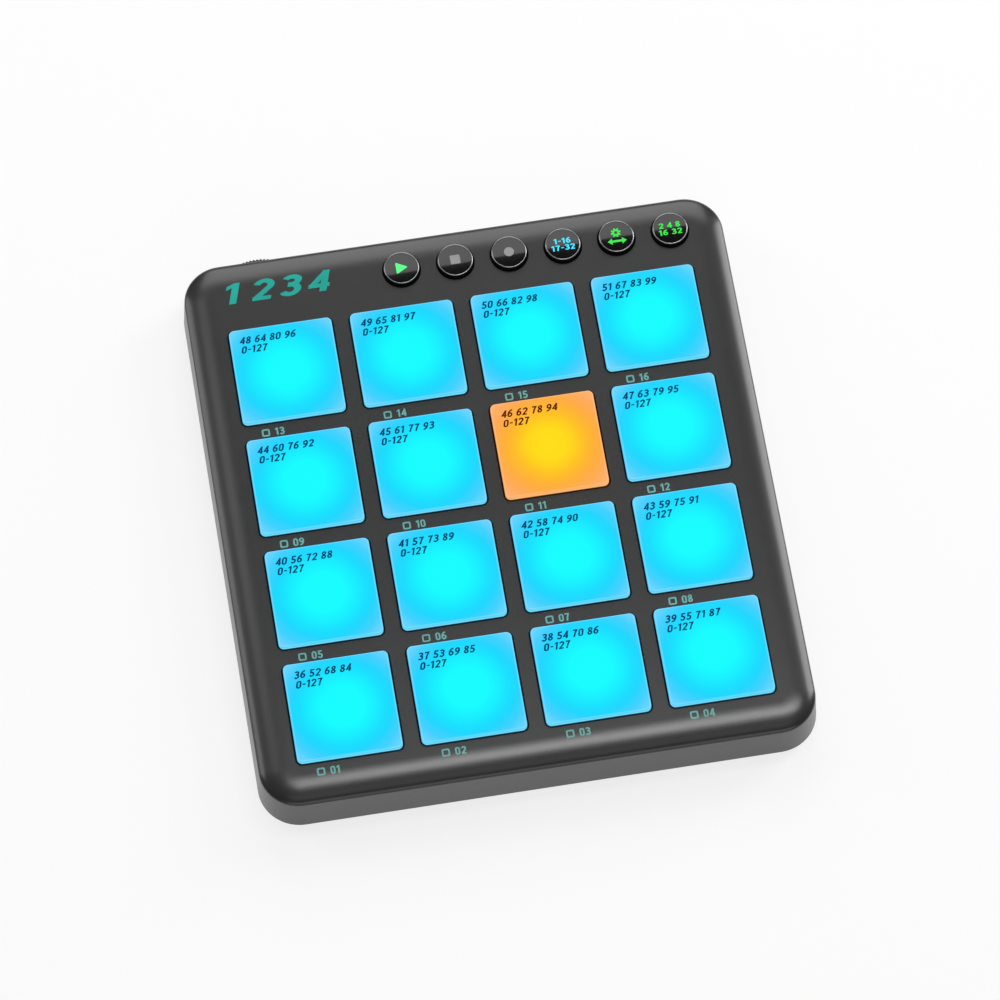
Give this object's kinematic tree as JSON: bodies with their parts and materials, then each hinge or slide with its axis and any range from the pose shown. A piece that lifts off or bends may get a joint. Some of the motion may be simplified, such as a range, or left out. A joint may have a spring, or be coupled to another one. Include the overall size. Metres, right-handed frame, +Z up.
{
  "type": "midi pad controller",
  "caption": "Slim desktop pad controller with a square field of lit, pressure-sensing silicone pads, a row of round push buttons behind them and a knurled thumbwheel in the rear wall.",
  "frame": {"origin": "on the desk plane under the rubber feet, in the middle of the outer box, which takes in the rim of the rear thumbwheel", "axes": "+X to the right across the pads, +Y from the front edge to the rear wall with the socket, +Z up out of the pads"},
  "size_m": [0.1334, 0.1466, 0.0153],
  "materials": {
    "cover_plastic": "fine satin",
    "cyan_pad": "translucent, lit from below",
    "orange_pad": "translucent, lit from below",
    "cap_gloss": "glossy",
    "wheel_plastic": "knurled satin",
    "foot_rubber": "matte",
    "socket_steel": "satin",
    "black_steel": "blackened",
    "black_plastic": "moulded",
    "white_plastic": "moulded",
    "clear_silicone": "translucent",
    "sensor_film": "film",
    "board": "solder mask",
    "lamp": "lens",
    "battery_foil": "foil",
    "tape": "foam tape"
  },
  "bodies": {
    "case": {"top_cover": "cover_plastic", "bottom_cover": "cover_plastic", "pad_mat": "clear_silicone", "light_grid": "white_plastic", "sensor_film": "sensor_film", "main_board": "board", "pad_lamps": "lamp", "button_lamps": "lamp", "switch_housings": "black_plastic", "socket_shell": "socket_steel", "socket_tongue": "black_plastic", "board_chips": "black_plastic", "battery": "battery_foil", "battery_tape": "tape", "battery_connector": "white_plastic", "wheel_base": "black_plastic", "wheel_clip": "socket_steel", "case_screws": "black_steel", "board_screws": "socket_steel", "rubber_feet": "foot_rubber"},
    "wheel_body": {"thumbwheel": "wheel_plastic"},
    "pad_1_body": {"pad_1": "cyan_pad"},
    "pad_2_body": {"pad_2": "cyan_pad"},
    "pad_3_body": {"pad_3": "cyan_pad"},
    "pad_4_body": {"pad_4": "cyan_pad"},
    "pad_5_body": {"pad_5": "cyan_pad"},
    "pad_6_body": {"pad_6": "cyan_pad"},
    "pad_7_body": {"pad_7": "cyan_pad"},
    "pad_8_body": {"pad_8": "cyan_pad"},
    "pad_9_body": {"pad_9": "cyan_pad"},
    "pad_10_body": {"pad_10": "cyan_pad"},
    "pad_11_body": {"pad_11": "orange_pad"},
    "pad_12_body": {"pad_12": "cyan_pad"},
    "pad_13_body": {"pad_13": "cyan_pad"},
    "pad_14_body": {"pad_14": "cyan_pad"},
    "pad_15_body": {"pad_15": "cyan_pad"},
    "pad_16_body": {"pad_16": "cyan_pad"},
    "play_button": {"play_cap": "cap_gloss", "play_plunger": "white_plastic"},
    "stop_button": {"stop_cap": "cap_gloss", "stop_plunger": "white_plastic"},
    "record_button": {"record_cap": "cap_gloss", "record_plunger": "white_plastic"},
    "bank_button": {"bank_cap": "cap_gloss", "bank_plunger": "white_plastic"},
    "shift_button": {"shift_cap": "cap_gloss", "shift_plunger": "white_plastic"},
    "repeat_button": {"repeat_cap": "cap_gloss", "repeat_plunger": "white_plastic"}
  },
  "joints": [
    {"name": "wheel_turn", "type": "hinge", "parent": "case", "child": "wheel_body", "pos_m": [-0.0472, 0.05828, 0.00495], "axis": [0, 0, 1], "continuous": true},
    {"name": "pad_1_press", "type": "slide", "parent": "case", "child": "pad_1_body", "axis": [0, 0, -1], "range_m": [0, 0.0008], "stiffness_N_per_m": 5000},
    {"name": "pad_2_press", "type": "slide", "parent": "case", "child": "pad_2_body", "axis": [0, 0, -1], "range_m": [0, 0.0008], "stiffness_N_per_m": 5000},
    {"name": "pad_3_press", "type": "slide", "parent": "case", "child": "pad_3_body", "axis": [0, 0, -1], "range_m": [0, 0.0008], "stiffness_N_per_m": 5000},
    {"name": "pad_4_press", "type": "slide", "parent": "case", "child": "pad_4_body", "axis": [0, 0, -1], "range_m": [0, 0.0008], "stiffness_N_per_m": 5000},
    {"name": "pad_5_press", "type": "slide", "parent": "case", "child": "pad_5_body", "axis": [0, 0, -1], "range_m": [0, 0.0008], "stiffness_N_per_m": 5000},
    {"name": "pad_6_press", "type": "slide", "parent": "case", "child": "pad_6_body", "axis": [0, 0, -1], "range_m": [0, 0.0008], "stiffness_N_per_m": 5000},
    {"name": "pad_7_press", "type": "slide", "parent": "case", "child": "pad_7_body", "axis": [0, 0, -1], "range_m": [0, 0.0008], "stiffness_N_per_m": 5000},
    {"name": "pad_8_press", "type": "slide", "parent": "case", "child": "pad_8_body", "axis": [0, 0, -1], "range_m": [0, 0.0008], "stiffness_N_per_m": 5000},
    {"name": "pad_9_press", "type": "slide", "parent": "case", "child": "pad_9_body", "axis": [0, 0, -1], "range_m": [0, 0.0008], "stiffness_N_per_m": 5000},
    {"name": "pad_10_press", "type": "slide", "parent": "case", "child": "pad_10_body", "axis": [0, 0, -1], "range_m": [0, 0.0008], "stiffness_N_per_m": 5000},
    {"name": "pad_11_press", "type": "slide", "parent": "case", "child": "pad_11_body", "axis": [0, 0, -1], "range_m": [0, 0.0008], "stiffness_N_per_m": 5000},
    {"name": "pad_12_press", "type": "slide", "parent": "case", "child": "pad_12_body", "axis": [0, 0, -1], "range_m": [0, 0.0008], "stiffness_N_per_m": 5000},
    {"name": "pad_13_press", "type": "slide", "parent": "case", "child": "pad_13_body", "axis": [0, 0, -1], "range_m": [0, 0.0008], "stiffness_N_per_m": 5000},
    {"name": "pad_14_press", "type": "slide", "parent": "case", "child": "pad_14_body", "axis": [0, 0, -1], "range_m": [0, 0.0008], "stiffness_N_per_m": 5000},
    {"name": "pad_15_press", "type": "slide", "parent": "case", "child": "pad_15_body", "axis": [0, 0, -1], "range_m": [0, 0.0008], "stiffness_N_per_m": 5000},
    {"name": "pad_16_press", "type": "slide", "parent": "case", "child": "pad_16_body", "axis": [0, 0, -1], "range_m": [0, 0.0008], "stiffness_N_per_m": 5000},
    {"name": "play_press", "type": "slide", "parent": "case", "child": "play_button", "axis": [0, 0, -1], "range_m": [0, 0.0004], "stiffness_N_per_m": 4000},
    {"name": "stop_press", "type": "slide", "parent": "case", "child": "stop_button", "axis": [0, 0, -1], "range_m": [0, 0.0004], "stiffness_N_per_m": 4000},
    {"name": "record_press", "type": "slide", "parent": "case", "child": "record_button", "axis": [0, 0, -1], "range_m": [0, 0.0004], "stiffness_N_per_m": 4000},
    {"name": "bank_press", "type": "slide", "parent": "case", "child": "bank_button", "axis": [0, 0, -1], "range_m": [0, 0.0004], "stiffness_N_per_m": 4000},
    {"name": "shift_press", "type": "slide", "parent": "case", "child": "shift_button", "axis": [0, 0, -1], "range_m": [0, 0.0004], "stiffness_N_per_m": 4000},
    {"name": "repeat_press", "type": "slide", "parent": "case", "child": "repeat_button", "axis": [0, 0, -1], "range_m": [0, 0.0004], "stiffness_N_per_m": 4000}
  ]
}
